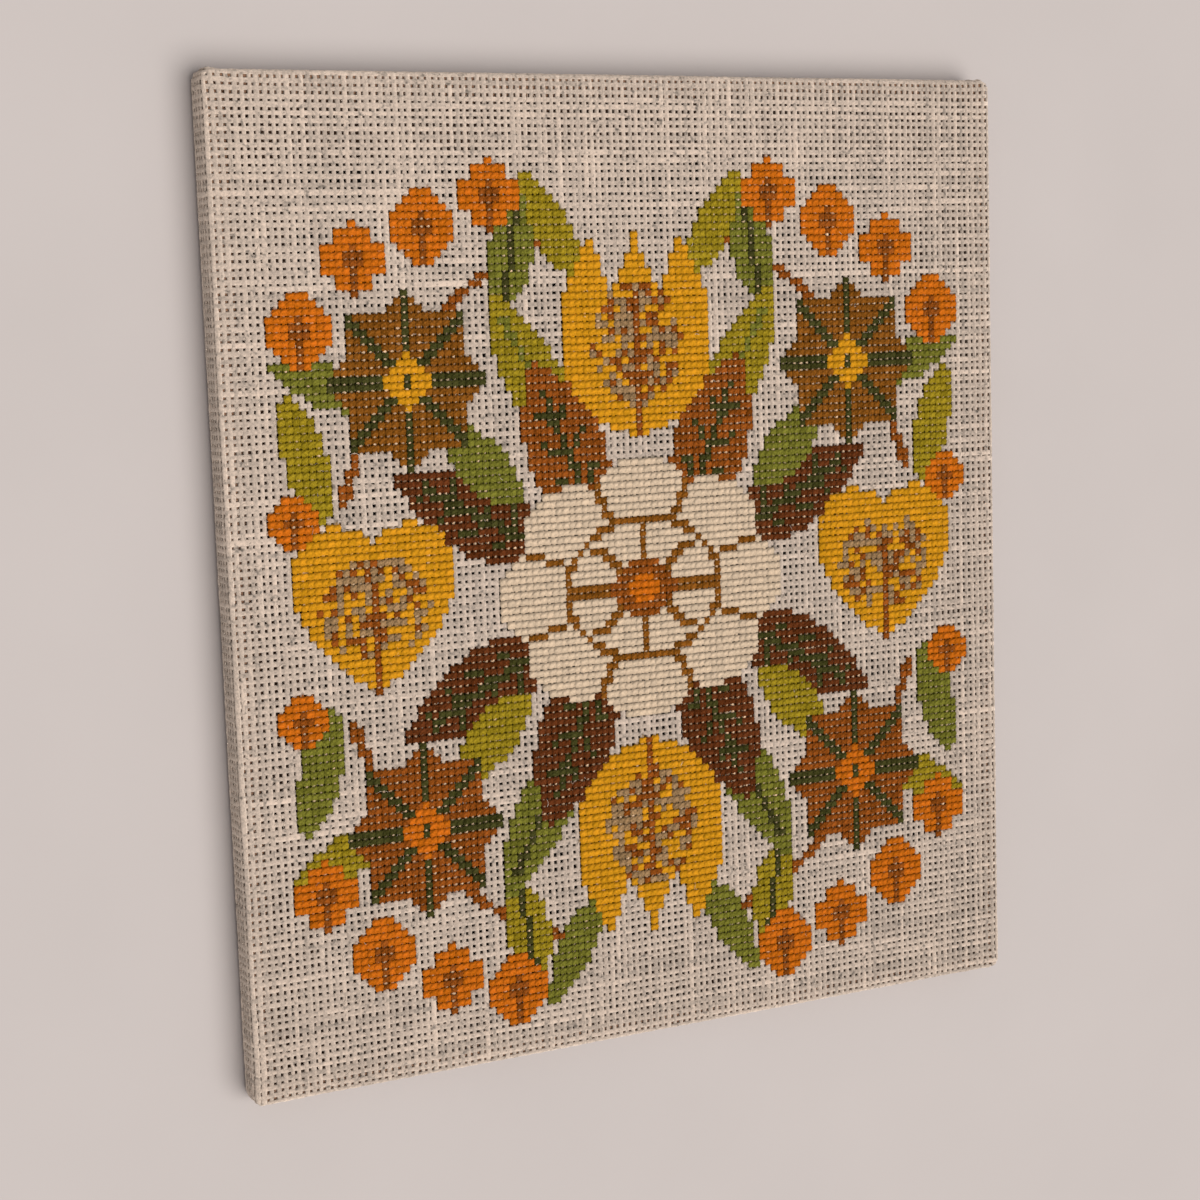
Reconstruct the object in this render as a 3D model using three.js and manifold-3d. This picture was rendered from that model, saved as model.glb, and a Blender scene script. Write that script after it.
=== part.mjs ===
// Cross-stitch picture: an embroidered open-weave canvas stretched over four mitred wooden bars.
//
// Millimetres. The picture lies on its back: +X is its right, +Y its top and +Z points out of its face.
// The origin is the middle of the back, on the plane that the turned-over canvas rests on.

import * as THREE from 'three';
import { mergeVertices } from 'three/addons/utils/BufferGeometryUtils.js';
import Module from 'manifold-3d';

const wasm = await Module();
wasm.setup();

// Driving dimensions of the finished picture
const WIDTH = 400;
const HEIGHT = 450;
const DEPTH = 18;

// The canvas: one cut, folded round the bars
const CANVAS_THICKNESS = 1.2;
const TURN_OVER = 28; // how far it reaches in over the back
const EDGE_RADIUS = 3; // where it bends from the face to the sides, and from the sides to the back
const CORNER_RADIUS = 4; // where the sides meet
const FOLD_GAP = 0.3; // between the two turn-overs that meet on a mitre
const PLEAT_PROUD = 0.8; // the flattened layers of a corner pleat

// The bars: a bevelled moulding, mitred, a little smaller than the pocket of the canvas
const CLEARANCE = 0.3;
const BAR_WIDTH = 38;
const LIP_WIDTH = 6; // the flat outer lip that the canvas bears on
const BEVEL_DROP = 5; // how far the bevel falls away from the canvas by the inner edge
const BAR_EDGE_RADIUS = 1.5;
const BAR_CORNER_CUT = 3.2; // the sharp outer corner of a mitred joint, planed off
const INNER_EDGE_RADIUS = 1;

const ARC_STEPS = 5;
const OVERLAP = 0.4; // how deep a joined piece reaches into its neighbour before the two are made one
const QUARTER_TURN = Math.PI / 2;

// Sizes worked out from these
const CLOTH_HEIGHT = HEIGHT - 2 * PLEAT_PROUD;
const POCKET_WIDTH = WIDTH - 2 * CANVAS_THICKNESS;
const POCKET_HEIGHT = CLOTH_HEIGHT - 2 * CANVAS_THICKNESS;
const POCKET_DEPTH = DEPTH - 2 * CANVAS_THICKNESS;
const FRAME_WIDTH = POCKET_WIDTH - 2 * CLEARANCE;
const FRAME_HEIGHT = POCKET_HEIGHT - 2 * CLEARANCE;
const BAR_DEPTH = POCKET_DEPTH - 2 * CLEARANCE;
const BAR_BACK = CANVAS_THICKNESS + CLEARANCE;

const canvasMaterial = new THREE.MeshStandardMaterial({ color: 0xbeb0a2, roughness: 0.95, metalness: 0 });
const woodMaterial = new THREE.MeshStandardMaterial({ color: 0x7c5942, roughness: 0.7, metalness: 0 });

// A closed three.js geometry as a solid that can be joined and cut
function toSolid(geometry) {
  const bare = geometry.index ? geometry.toNonIndexed() : geometry.clone();
  bare.deleteAttribute('normal');
  bare.deleteAttribute('uv');
  const merged = mergeVertices(bare, 1e-4);
  const mesh = new wasm.Mesh({
    numProp: 3,
    vertProperties: Float32Array.from(merged.attributes.position.array),
    triVerts: Uint32Array.from(merged.index.array),
  });
  return new wasm.Manifold(mesh);
}

function toGeometry(solid) {
  const { vertProperties, triVerts } = solid.getMesh();
  const geometry = new THREE.BufferGeometry();
  geometry.setAttribute('position', new THREE.BufferAttribute(vertProperties, 3));
  geometry.setIndex(new THREE.BufferAttribute(triVerts, 1));
  geometry.computeVertexNormals();
  return geometry;
}

// A rectangle about the origin with rounded corners
function roundedRectangle(width, height, radius) {
  const right = width / 2 - radius;
  const top = height / 2 - radius;
  const shape = new THREE.Shape();
  shape.absarc(right, top, radius, 0, QUARTER_TURN);
  shape.absarc(-right, top, radius, QUARTER_TURN, 2 * QUARTER_TURN);
  shape.absarc(-right, -top, radius, 2 * QUARTER_TURN, 3 * QUARTER_TURN);
  shape.absarc(right, -top, radius, 3 * QUARTER_TURN, 4 * QUARTER_TURN);
  return shape;
}

// A slab from z = bottom upwards, with round corners in plan and round edges all the way about
function softSlab({ width, height, depth, bottom, cornerRadius, edgeRadius }) {
  const outline = roundedRectangle(width - 2 * edgeRadius, height - 2 * edgeRadius, cornerRadius - edgeRadius);
  const slab = new THREE.ExtrudeGeometry(outline, {
    depth: depth - 2 * edgeRadius,
    curveSegments: ARC_STEPS,
    bevelEnabled: true,
    bevelThickness: edgeRadius,
    bevelSize: edgeRadius,
    bevelSegments: ARC_STEPS,
  });
  return toSolid(slab.translate(0, 0, bottom + edgeRadius));
}

function block(width, height, depth, bottom) {
  return toSolid(new THREE.BoxGeometry(width, height, depth).translate(0, 0, bottom + depth / 2));
}

// The slit along one corner's mitre, where two folded turn-overs lie edge to edge.
// It runs from the back opening towards the corner and stops where the canvas bends up the sides.
function mitreSlit(signX, signY) {
  const inner = new THREE.Vector2(WIDTH / 2 - TURN_OVER, CLOTH_HEIGHT / 2 - TURN_OVER);
  const reach = TURN_OVER - CORNER_RADIUS;
  const length = (reach + OVERLAP) * Math.SQRT2;
  const slit = new THREE.BoxGeometry(length, FOLD_GAP, 2 * CANVAS_THICKNESS);
  slit.rotateZ(signX * signY * (Math.PI / 4));
  const middle = (reach - OVERLAP) / 2;
  slit.translate(signX * (inner.x + middle), signY * (inner.y + middle), 0);
  return toSolid(slit);
}

// One corner's surplus canvas: a triangle laid flat on the top or bottom side. Its sloping edge runs from
// the front of the corner down to the back.
function cornerPleat(signX, signY) {
  const nearCorner = WIDTH / 2 - CORNER_RADIUS;
  const straight = DEPTH - 2 * EDGE_RADIUS;
  const outline = new THREE.Shape([
    new THREE.Vector2(signX * nearCorner, EDGE_RADIUS + straight),
    new THREE.Vector2(signX * nearCorner, EDGE_RADIUS),
    new THREE.Vector2(signX * (nearCorner - straight), EDGE_RADIUS),
  ]);
  const pleat = new THREE.ExtrudeGeometry(outline, { depth: PLEAT_PROUD + OVERLAP, bevelEnabled: false });
  // the outline stands up along Z, and its thickness runs down from the higher of its two faces in Y
  const innerFace = signY * (CLOTH_HEIGHT / 2 - OVERLAP);
  const outerFace = signY * (CLOTH_HEIGHT / 2 + PLEAT_PROUD);
  pleat.rotateX(QUARTER_TURN).translate(0, Math.max(innerFace, outerFace), 0);
  return toSolid(pleat);
}

function canvas() {
  const outside = softSlab({
    width: WIDTH,
    height: CLOTH_HEIGHT,
    depth: DEPTH,
    bottom: 0,
    cornerRadius: CORNER_RADIUS,
    edgeRadius: EDGE_RADIUS,
  });
  const pocket = softSlab({
    width: POCKET_WIDTH,
    height: POCKET_HEIGHT,
    depth: POCKET_DEPTH,
    bottom: CANVAS_THICKNESS,
    cornerRadius: CORNER_RADIUS - CANVAS_THICKNESS,
    edgeRadius: INNER_EDGE_RADIUS,
  });
  const backOpening = block(
    WIDTH - 2 * TURN_OVER,
    CLOTH_HEIGHT - 2 * TURN_OVER,
    2 * CANVAS_THICKNESS,
    -CANVAS_THICKNESS / 2,
  );
  let solid = outside;
  for (const signX of [-1, 1]) {
    for (const signY of [-1, 1]) {
      solid = solid.add(cornerPleat(signX, signY)).subtract(mitreSlit(signX, signY));
    }
  }
  return toGeometry(solid.subtract(pocket).subtract(backOpening));
}

// The moulding's section: x runs in from the outer edge, y up from the back
function barSection() {
  const r = BAR_EDGE_RADIUS;
  const section = new THREE.Shape();
  section.absarc(r, r, r, 2 * QUARTER_TURN, 3 * QUARTER_TURN);
  section.lineTo(BAR_WIDTH, 0);
  section.lineTo(BAR_WIDTH, BAR_DEPTH - BEVEL_DROP);
  section.lineTo(LIP_WIDTH, BAR_DEPTH);
  section.absarc(r, BAR_DEPTH - r, r, QUARTER_TURN, 2 * QUARTER_TURN);
  return section;
}

// The plan of a bar along the bottom of the frame: mitred ends, with the outer corners planed off
function barPlan(length) {
  const end = length / 2 - CLEARANCE / Math.SQRT2;
  const half = [
    [end - BAR_CORNER_CUT, 0],
    [end - BAR_CORNER_CUT / 2, BAR_CORNER_CUT / 2],
    [end - BAR_WIDTH, BAR_WIDTH],
  ];
  const right = half.map(([x, y]) => new THREE.Vector2(x, y));
  const left = half.map(([x, y]) => new THREE.Vector2(-x, y)).reverse();
  return new THREE.Shape([...right, ...left]);
}

// A bar of the given outer length, lying along X with its outer edge `out` below the middle of the frame
function bar(length, out) {
  const moulding = new THREE.ExtrudeGeometry(barSection(), {
    depth: length,
    curveSegments: ARC_STEPS,
    bevelEnabled: false,
  });
  // section x, y and the sawn length become Y, Z and X
  moulding.rotateY(QUARTER_TURN).rotateX(QUARTER_TURN).translate(-length / 2, 0, 0);
  const saw = new THREE.ExtrudeGeometry(barPlan(length), { depth: BAR_DEPTH + 2, bevelEnabled: false });
  saw.translate(0, 0, -1);
  return toGeometry(toSolid(moulding).intersect(toSolid(saw)).translate([0, -out, 0]));
}

const BARS = [
  // name, outer length, distance of the outer edge from the middle, quarter turns from the bottom
  { name: 'bar_bottom', length: FRAME_WIDTH, out: FRAME_HEIGHT / 2, turns: 0 },
  { name: 'bar_right', length: FRAME_HEIGHT, out: FRAME_WIDTH / 2, turns: 1 },
  { name: 'bar_top', length: FRAME_WIDTH, out: FRAME_HEIGHT / 2, turns: 2 },
  { name: 'bar_left', length: FRAME_HEIGHT, out: FRAME_WIDTH / 2, turns: 3 },
];

function named(name, geometry, material) {
  const mesh = new THREE.Mesh(geometry, material);
  mesh.name = name;
  return mesh;
}

const picture = new THREE.Group();
picture.add(named('canvas', canvas(), canvasMaterial));

const frame = new THREE.Group();
frame.position.z = BAR_BACK;
for (const { name, length, out, turns } of BARS) {
  const piece = named(name, bar(length, out), woodMaterial);
  piece.rotation.z = turns * QUARTER_TURN;
  frame.add(piece);
}
picture.add(frame);

export default picture;
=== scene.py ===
# %% [markdown]
# # A cross-stitch picture on a wooden stretcher frame
#
# The real object is a coarse, open canvas with flowers worked on it in thick yarn, one cross to each
# crossing of the weave. The canvas is pulled over a flat wooden frame, turned over at the back, and
# folded at the corners. Here it lies on its back.
#
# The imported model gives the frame's bars, and a plain closed sheet where the canvas goes. This lesson keeps
# the bars, gives them a wood finish, and replaces the sheet with real threads: warp and weft that pass over
# and under each other, with open holes between them, and yarn crosses on top.
#
# Everything is in metres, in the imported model's own frame: +X is the picture's right, +Y its top, and +Z
# points out of its face. The first cell loads that model and keeps its box.

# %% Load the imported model
import math

import bpy
import numpy as np
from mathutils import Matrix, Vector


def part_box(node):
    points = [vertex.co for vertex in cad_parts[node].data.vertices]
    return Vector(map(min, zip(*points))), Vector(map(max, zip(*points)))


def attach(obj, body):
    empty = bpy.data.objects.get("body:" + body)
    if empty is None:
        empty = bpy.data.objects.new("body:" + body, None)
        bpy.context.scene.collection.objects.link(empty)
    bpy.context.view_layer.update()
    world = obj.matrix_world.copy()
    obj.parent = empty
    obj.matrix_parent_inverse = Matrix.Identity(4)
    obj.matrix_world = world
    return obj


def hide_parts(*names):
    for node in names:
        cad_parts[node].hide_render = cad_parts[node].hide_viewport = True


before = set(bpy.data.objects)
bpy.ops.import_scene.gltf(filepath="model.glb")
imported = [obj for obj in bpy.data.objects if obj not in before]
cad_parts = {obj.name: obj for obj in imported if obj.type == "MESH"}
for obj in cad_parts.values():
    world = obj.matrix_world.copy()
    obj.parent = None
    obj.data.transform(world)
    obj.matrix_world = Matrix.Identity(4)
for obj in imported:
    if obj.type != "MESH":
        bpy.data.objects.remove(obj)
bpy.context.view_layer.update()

MM = 0.001

# %% [markdown]
# ## Sizes that the canvas has to keep to
#
# The canvas is wrapped round the bars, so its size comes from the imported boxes. `wrap` is the little gap and
# the cloth together, measured at the right-hand bar. The same amount outside the top bar gives the cloth's
# true height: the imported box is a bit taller, because flattened corner pleats stand proud of the top and
# bottom sides.

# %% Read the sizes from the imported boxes
canvas_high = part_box("canvas")[1]
wrap = canvas_high.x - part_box("bar_right")[1].x
half_size = np.array([canvas_high.x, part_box("bar_top")[1].y + wrap])
depth = canvas_high.z
pleat_proud = canvas_high.y - half_size[1]

COLUMNS, ROWS = 123, 134  # crossings of the weave on the face, across and up
TURN_OVER = 28 * MM  # how far the canvas reaches in over the back
pitch = 2 * half_size / (COLUMNS, ROWS)
print("one crossing every", np.round(pitch / MM, 2), "mm")

# %% [markdown]
# ## Camera
#
# A camera with a longish lens stands to the left of the picture, a little above its middle, and looks back
# at it, so that the left side shows as a narrow band. Its place is given in widths of the picture.

# %% Place the camera
CAMERA_PLACE = (-1.2277, 0.3021, 2.3573)  # in widths, from the middle of the face
CAMERA_TURN = (-6.35, -26.61, -2.12)  # degrees about X, Y and Z

camera_data = bpy.data.cameras.new("camera")
camera_data.lens = 69.1
camera_data.sensor_width = 36
camera = bpy.data.objects.new("camera", camera_data)
bpy.context.scene.collection.objects.link(camera)
camera.location = np.array(CAMERA_PLACE) * 2 * half_size[0] + (0, 0, depth)
camera.rotation_euler = [math.radians(angle) for angle in CAMERA_TURN]
bpy.context.scene.camera = camera
print("camera at", [round(c, 3) for c in camera.location])

# %% [markdown]
# ## Helpers for node trees
#
# Both Geometry Nodes and materials are trees of nodes. `add` makes one node, sets its options, and fills
# its inputs: a plain value is written on the socket, and another node's output is linked to it.

# %% Helpers that build any tree
def add(tree, kind, sockets=None, **options):
    made = tree.nodes.new(kind)
    for option, value in options.items():
        setattr(made, option, value)
    for key, value in (sockets or {}).items():
        if isinstance(value, bpy.types.NodeSocket):
            tree.links.new(value, made.inputs[key])
        else:
            made.inputs[key].default_value = value
    return made


def math_node(tree, operation, first, second=0.0, third=0.0):
    made = add(tree, "ShaderNodeMath", {0: first, 1: second, 2: third}, operation=operation)
    return made.outputs[0]


def opposite(tree, value):
    return math_node(tree, "MULTIPLY", value, -1.0)


# %% [markdown]
# A Geometry Nodes tree gets its sizes through named inputs, so that anyone can set them on the modifier,
# which stores them under each socket's identifier. `finished_mesh` runs the tree, keeps the result as a
# plain mesh, and takes the modifier away, so that nothing is left to compute later.

# %% Helpers that give a tree its inputs and keep its result
def tree_with_inputs(name, inputs):
    tree = bpy.data.node_groups.new(name, "GeometryNodeTree")
    tree.interface.new_socket("Geometry", in_out="INPUT", socket_type="NodeSocketGeometry")
    for title, value in inputs.items():
        kind = "NodeSocketInt" if isinstance(value, int) else "NodeSocketFloat"
        socket = tree.interface.new_socket(title, in_out="INPUT", socket_type=kind)
        socket.default_value = value
    tree.interface.new_socket("Material", in_out="INPUT", socket_type="NodeSocketMaterial")
    tree.interface.new_socket("Geometry", in_out="OUTPUT", socket_type="NodeSocketGeometry")
    given = tree.nodes.new("NodeGroupInput").outputs
    return tree, given


def end_tree(tree, geometry, material):
    realized = add(tree, "GeometryNodeRealizeInstances", {0: geometry})
    painted = add(tree, "GeometryNodeSetMaterial", {"Geometry": realized.outputs[0], "Material": material})
    add(tree, "NodeGroupOutput", {0: painted.outputs[0]})


def finished_mesh(piece, tree, settings):
    modifier = piece.modifiers.new(tree.name, "NODES")
    modifier.node_group = tree
    for socket in tree.interface.items_tree:
        if socket.in_out == "INPUT" and socket.name in settings:
            modifier[socket.identifier] = settings[socket.name]
    depsgraph = bpy.context.evaluated_depsgraph_get()
    mesh = bpy.data.meshes.new_from_object(piece.evaluated_get(depsgraph), depsgraph=depsgraph)
    piece.modifiers.clear()
    piece.data = mesh
    mesh.name = piece.name
    triangles = sum(len(face.vertices) - 2 for face in mesh.polygons)
    print(piece.name, "has", triangles, "triangles")
    return piece


# %% [markdown]
# A tree needs something to start from. `object_from` makes an object of bare points, or of points joined by
# edges, and hangs values on them as attributes. The nodes read these values by name, and carry them on to
# the mesh that they build, where the materials can read them too.

# %% A bare object for a tree to start from
def object_from(name, points, edges=(), attributes=None):
    mesh = bpy.data.meshes.new(name)
    mesh.from_pydata([tuple(p) for p in points], edges, [])
    for title, values in (attributes or {}).items():
        values = np.asarray(values, np.float32)
        is_vector = values.ndim == 2
        layer = mesh.attributes.new(title, "FLOAT_VECTOR" if is_vector else "FLOAT", "POINT")
        layer.data.foreach_set("vector" if is_vector else "value", values.ravel())
    piece = bpy.data.objects.new(name, mesh)
    bpy.context.scene.collection.objects.link(piece)
    return piece


# %% [markdown]
# ## The wrapped surface
#
# The canvas is cut flat and then folded: it runs across the face, bends down the side, and bends again onto
# the back. `fold` follows that path in one direction. It takes a distance from the middle of the flat cut
# and says how far out and how high that point ends up.

# %% Follow the canvas from its middle round to the back
INSET = 0.8 * MM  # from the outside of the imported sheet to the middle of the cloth
BEND = 2.3 * MM  # radius of the bends from the face to the sides and on to the back

middle_half = half_size - INSET
front_z, back_z = depth - INSET, INSET
flat_half = middle_half - BEND
bend_length = BEND * math.pi / 2
side_length = front_z - back_z - 2 * BEND
back_length = TURN_OVER - INSET - BEND
cut_half = flat_half + 2 * bend_length + side_length + back_length
print("the canvas was cut", np.round(2 * cut_half / MM), "mm")


def fold(distance, flat):
    over = np.abs(distance) - flat
    first_turn = np.clip(over, 0, bend_length) / BEND
    down = np.clip(over - bend_length, 0, side_length)
    second_turn = np.clip(over - bend_length - side_length, 0, bend_length) / BEND
    inward = np.clip(over - 2 * bend_length - side_length, 0, None)
    out = flat + np.minimum(over, 0) + BEND * (np.sin(first_turn) - 1 + np.cos(second_turn)) - inward
    height = front_z - BEND * (1 - np.cos(first_turn)) - down - BEND * np.sin(second_turn)
    return np.sign(distance) * out, height


# %% [markdown]
# Folding in two directions at once leaves the corners sharp. `settle` rounds them. It finds the nearest
# point of an inner core and puts the thread one bend radius away from it, which also gives the direction
# that points out of the cloth.

# %% Round the corners
CORNER = 4.0 * MM  # radius of the four upright corners


def settle(points):
    plan = points[:, :2]
    straight = np.clip(plan, CORNER - middle_half, middle_half - CORNER)
    corner = plan - straight
    length = np.maximum(np.linalg.norm(corner, axis=1, keepdims=True), 1e-9)
    corner = corner * np.minimum(1, (CORNER - BEND) / length)
    height = np.clip(points[:, 2], back_z + BEND, front_z - BEND)
    core = np.column_stack([straight + corner, height])
    outward = points - core
    outward /= np.linalg.norm(outward, axis=1, keepdims=True)
    return core + BEND * outward, outward


# %% [markdown]
# ## The chart
#
# Cross stitch is planned on squared paper: one square is one cross, in one of ten yarns. The chart comes
# before the canvas, because the crosses also change the threads that they are worked on.
#
# It could be typed in square by square. Here it is worked out instead: each motif is a short rule that says
# which squares it covers, seen from its own middle, and tables put the motifs in their places. What is
# stitched later covers what lies under it. The design is a plain folk wreath, the same on its left and
# right: a big cream rosette, tulips, hearts, eight-pointed stars, almond leaves and small blossoms.

# %% Yarns and squared paper
YARNS = {
    # the colour of each yarn, in linear light
    "orange": (0.66, 0.178, 0.004),
    "mustard": (0.72, 0.355, 0.009),
    "rust": (0.33, 0.085, 0.005),
    "tan": (0.285, 0.098, 0.006),
    "brown": (0.15, 0.036, 0.005),
    "green": (0.215, 0.21, 0.024),
    "lime": (0.385, 0.28, 0.011),
    "olive": (0.064, 0.062, 0.011),
    "taupe": (0.40, 0.25, 0.12),
    "cream": (0.75, 0.61, 0.46),
}
YARN_NAMES = list(YARNS)
BARE = -1
LOWERED = 3  # squares by which the design sits below the middle of the canvas

columns_out = np.arange(COLUMNS) - (COLUMNS - 1) / 2
rows_up = np.arange(ROWS) - (ROWS - 1) / 2
square_across, square_up = np.meshgrid(columns_out, rows_up)
square_up = square_up + LOWERED
chart = np.full((ROWS, COLUMNS), BARE)
print("the chart has", chart.size, "squares")


def stitch(squares, yarn):
    chart[squares] = YARN_NAMES.index(yarn)


def about(across, up, turn=0, side=1):
    """Every square's place, seen from the middle of a motif; side -1 mirrors it"""
    u, v = side * square_across - across, square_up - up
    angle = math.radians(turn)
    return u * math.cos(angle) + v * math.sin(angle), v * math.cos(angle) - u * math.sin(angle)


# %% [markdown]
# ### Leaves and stars
#
# A leaf lies between two bowed edges, with a midrib and slanting side ribs that end before its tip. A star
# is a square and a diamond laid over each other. Rays run through its points, and its heart is a smaller
# diamond.

# %% Rules for a leaf and a star
def almond_leaf(place, length, width, yarn, vein):
    u, v = place
    share = np.clip(u / length + 0.5, 0, 1)
    edge = width / 2 * np.sin(math.pi * share**0.85) ** 0.8
    body = (np.abs(v) < edge) & (np.abs(u) < length / 2)
    stitch(body, yarn)
    if vein:
        midrib = np.abs(v) < 0.55
        ribs = np.abs((u - 0.9 * np.abs(v)) % 5 - 2.5) < 0.62
        ribs &= (np.abs(v) < 0.62 * edge) & (width > 9)
        stitch(body & (u < 0.32 * length) & (midrib | ribs), vein)


def star(place, size, yarn, rays, middle):
    u, v = np.abs(place[0]), np.abs(place[1])
    far, near = np.maximum(u, v), np.minimum(u, v)
    body = (far < 0.72 * size) | (far + near < size)
    stitch(body, yarn)
    stitch(body & ((near < 0.6) | (far - near < 0.6)), rays)
    stitch(far + near < 0.36 * size, middle)
    stitch(far + near < 1.2, rays)


# %% [markdown]
# ### Tulips and hearts
#
# Both have one plain colour outside and a flecked middle, as if two other yarns had been worked in single
# crosses. `speckle` decides which squares those are. It is one number for every square, and it comes from a
# seeded generator, so that each run stitches the same flecks.

# %% Rules for a tulip and a heart
speckle = np.random.default_rng(88).random((ROWS, COLUMNS))


def tulip(place, size, yarn, first_fleck, second_fleck):
    u, v = place
    x, y = u / size, v / size
    tooth = np.abs((np.abs(x) + 0.27) % 0.54 - 0.27)
    cup = (x**2 / 0.72 + (y + 0.15) ** 2 / 0.72 < 1) & (y < 0.3)
    petals = (y >= 0.1) & (y < 1.0 - 2.2 * tooth) & (np.abs(x) < 0.81)
    stitch(cup | petals, yarn)
    core = (cup | petals) & ((x / 0.52) ** 2 + ((y + 0.1) / 0.62) ** 2 < 1)
    stitch(core & (speckle < 0.40), first_fleck)
    stitch(core & (speckle > 0.74), second_fleck)
    stitch((cup | petals) & (np.abs(u) < 0.6) & (y < 0.42), second_fleck)


def heart(place, size, yarn, first_fleck, second_fleck):
    u, v = place
    x, y = u / size, v / size + 0.1
    body = (x**2 + y**2 - 0.72) ** 3 - 1.1 * x**2 * y**3 < 0
    stitch(body, yarn)
    core = body & ((x / 0.68) ** 2 + ((y - 0.15) / 0.58) ** 2 < 1)
    stitch(core & (speckle < 0.40), first_fleck)
    stitch(core & (speckle > 0.74), second_fleck)
    stitch(body & (np.abs(u) < 0.6) & (y < 0.45), second_fleck)


# %% [markdown]
# ### Rosette and blossoms
#
# Round flowers are easiest in polar form: the angle times the number of petals, run through a cosine, gives
# the petals' rounded ends and the lines between them.

# %% Rules for a rosette and a blossom
def rosette(place, half_across, half_up, petals, yarn, outline, eye, pupil):
    x, y = place[0] / half_across, place[1] / half_up
    r, turn = np.hypot(x, y), petals * np.arctan2(y, x) / 2
    outer_gap, inner_gap = np.abs(np.cos(turn)), np.abs(np.sin(turn))
    body = r < 0.84 + 0.16 * outer_gap**0.7
    stitch(body, yarn)
    stitch(body & (outer_gap * r < 0.115) & (r > 0.52) & (r < 0.93), outline)
    stitch((inner_gap * r < 0.14) & (r > 0.2) & (r < 0.5), outline)
    stitch((r > 0.51) & (r < 0.565), outline)
    stitch(r < 0.22, eye)
    stitch(r < 0.12, pupil)


def blossom(place, size, yarn, eye):
    u, v = place
    r, turn = np.hypot(u, v), np.arctan2(v, u)
    body = r < size * (0.8 + 0.2 * np.abs(np.cos(2 * turn)))
    stitch(body, yarn)
    stitch(np.abs(u) + np.abs(v) < 1.6, eye)
    stitch(body & (np.abs(u) < 0.6) & (v < 0), eye)


# %% [markdown]
# The tables hold one half of the wreath. The cell after them goes through each table twice, the second time
# mirrored. It starts with the thin garland that everything hangs on, and ends with the rosette, which
# covers the inner ends of the leaves.

# %% Tables that place the motifs, in squares from the middle of the design
LEAVES = [
    # across, up, turn, length, width, yarn, vein
    (50, 21, 74, 18, 6, "lime", None),
    (50, -21, -74, 18, 6, "green", None),
    (47, 30, 20, 15, 5.5, "green", None),
    (47, -32, -20, 15, 5.5, "lime", None),
    (19, 47, 100, 17, 6.5, "green", "olive"),
    (13, 50, 60, 17, 5.5, "lime", None),
    (20, -47, -100, 17, 6.5, "lime", "olive"),
    (13, -50, -60, 17, 5.5, "green", None),
    (17, 31, 62, 24, 8.5, "lime", "green"),
    (18, -31, -62, 24, 8.5, "green", "olive"),
    (12, 21, 68, 24, 12, "rust", "olive"),
    (26, 12, 26, 26, 11, "brown", "olive"),
    (26, -12, -26, 26, 11, "brown", "olive"),
    (12, -21, -68, 24, 12, "brown", "olive"),
    (25, 19, 44, 17, 7, "green", None),
    (25, -19, -44, 17, 7, "lime", None),
]
STARS = [
    # across, up, size, yarn, rays, middle
    (35, 30, 12.5, "tan", "olive", "mustard"),
    (35, -30, 12.5, "rust", "olive", "orange"),
]
BLOSSOMS = [
    # across, up, size
    (22, 54, 4.6),
    (32, 50, 5),
    (42, 46, 4.6),
    (50, 37, 5),
    (52, 12.5, 3.6),
    (22, -54, 5),
    (32, -51, 4.6),
    (42, -46, 5),
    (50, -37, 4.6),
    (52, -13.5, 3.6),
]

# %% Fill in the chart
garland = np.abs(np.hypot(square_across / 47, square_up / 50) - 1) < 0.014
stitch(garland & (np.abs(square_up) > 14) & (np.abs(square_across) > 13), "rust")
for side in (1, -1):
    for across, up, turn, length, width, yarn, vein in LEAVES:
        almond_leaf(about(across, up, turn, side), length, width, yarn, vein)
    heart(about(41, 0, 0, side), 11.8, "mustard", "taupe", "rust")
    for across, up, size, yarn, rays, middle in STARS:
        star(about(across, up, 0, side), size, yarn, rays, middle)
for turn in (0, 180):
    tulip(about(0, 35 if turn == 0 else -35, turn), 13.6, "mustard", "taupe", "rust")
for side in (1, -1):
    for across, up, size in BLOSSOMS:
        blossom(about(across, up, 0, side), size, "orange", "rust")
rosette(about(0, 0), 23, 18, 8, "cream", "tan", "rust", "orange")
print("crosses:", {yarn: int((chart == index).sum()) for index, yarn in enumerate(YARN_NAMES)})

# %% [markdown]
# ## Threads
#
# The canvas could be one sheet with a weave in its material. But this one is so coarse that its holes are
# open and show the wood and the floor behind them, and it is seen from low angles too, so each thread is
# modelled.
#
# A linen-like canvas is never even. Some threads are thicker and paler, most have soft lumps called slubs,
# and they wander a little between their neighbours. `drift` makes such slow changes: random numbers,
# smoothed over some crossings. They all come from one seeded generator, so that each run gives the same
# cloth.

# %% Uneven threads
SLUB_EVERY = 22  # crossings from one slub to the next, on average
chance = np.random.default_rng(1752)


def drift(count, reach):
    kernel = np.hanning(2 * reach + 3)
    kernel /= np.linalg.norm(kernel)
    return np.convolve(chance.normal(size=count + len(kernel) - 1), kernel, mode="valid")


def slubs(count):
    places = np.arange(count)
    lumps = np.zeros(count)
    for _ in range(chance.poisson(count / SLUB_EVERY)):
        middle, length = chance.uniform(0, count), chance.uniform(1.5, 6)
        lumps += chance.uniform(0.05, 0.22) * np.exp(-(((places - middle) / length) ** 2))
    return lumps


# %% [markdown]
# ### One thread in the flat cut
#
# A thread gets one point at each crossing. The corners of the finished canvas were pulled hard when they
# were folded, which draws the weave outwards there.

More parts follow.
